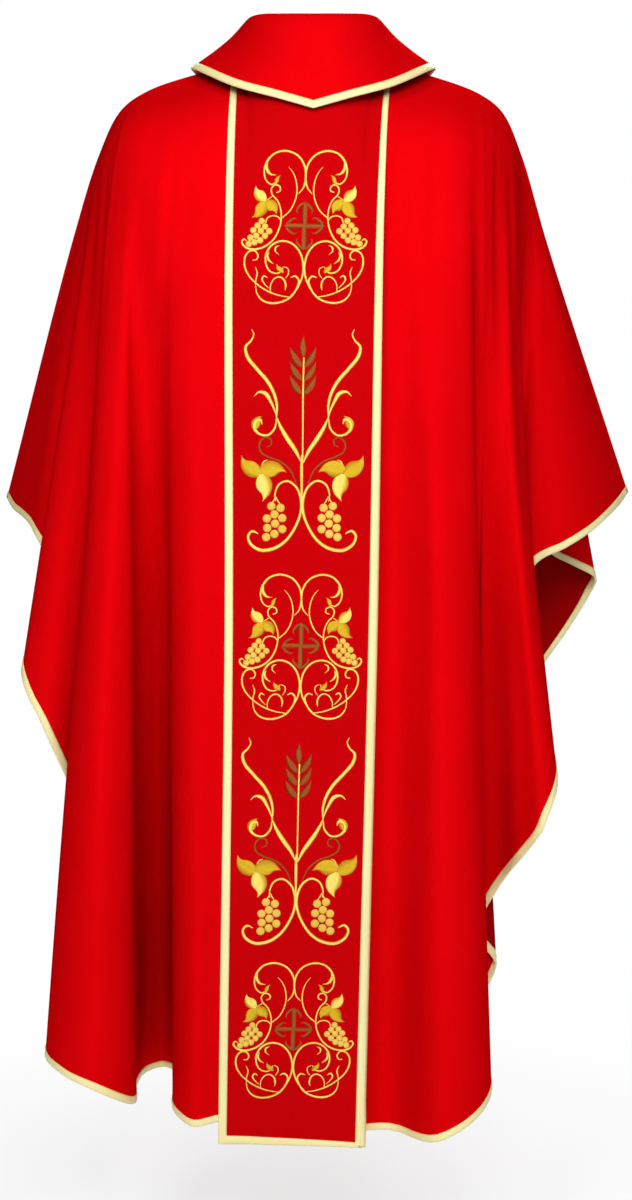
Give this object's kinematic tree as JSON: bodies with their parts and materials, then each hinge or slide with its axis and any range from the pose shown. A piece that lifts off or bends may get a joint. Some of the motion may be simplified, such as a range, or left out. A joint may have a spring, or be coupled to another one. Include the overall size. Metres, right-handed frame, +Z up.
{
  "type": "chasuble",
  "caption": "Open-sided sleeveless vestment worn over the shoulders, falling in deep vertical folds, with a stand-and-fall collar, bound edges and a banded back.",
  "frame": {"origin": "middle of the neck opening at the height of the neck seams, where the wearer's shoulders hold the garment", "axes": "+Z up, -Y out of the back of the garment, +X to the right when the back is seen"},
  "size_m": [0.8212, 0.4106, 1.3724],
  "materials": {
    "main_cloth": "satin-faced crepe",
    "band_cloth": "matt weave",
    "gold_tape": "satin binding tape"
  },
  "bodies": {
    "root": {"back_panel": "main_cloth", "front_panel": "main_cloth", "back_hem_binding": "gold_tape", "front_hem_binding": "gold_tape", "back_band": "band_cloth", "back_band_binding": "gold_tape", "collar": "main_cloth", "collar_binding": "gold_tape"}
  },
  "joints": []
}
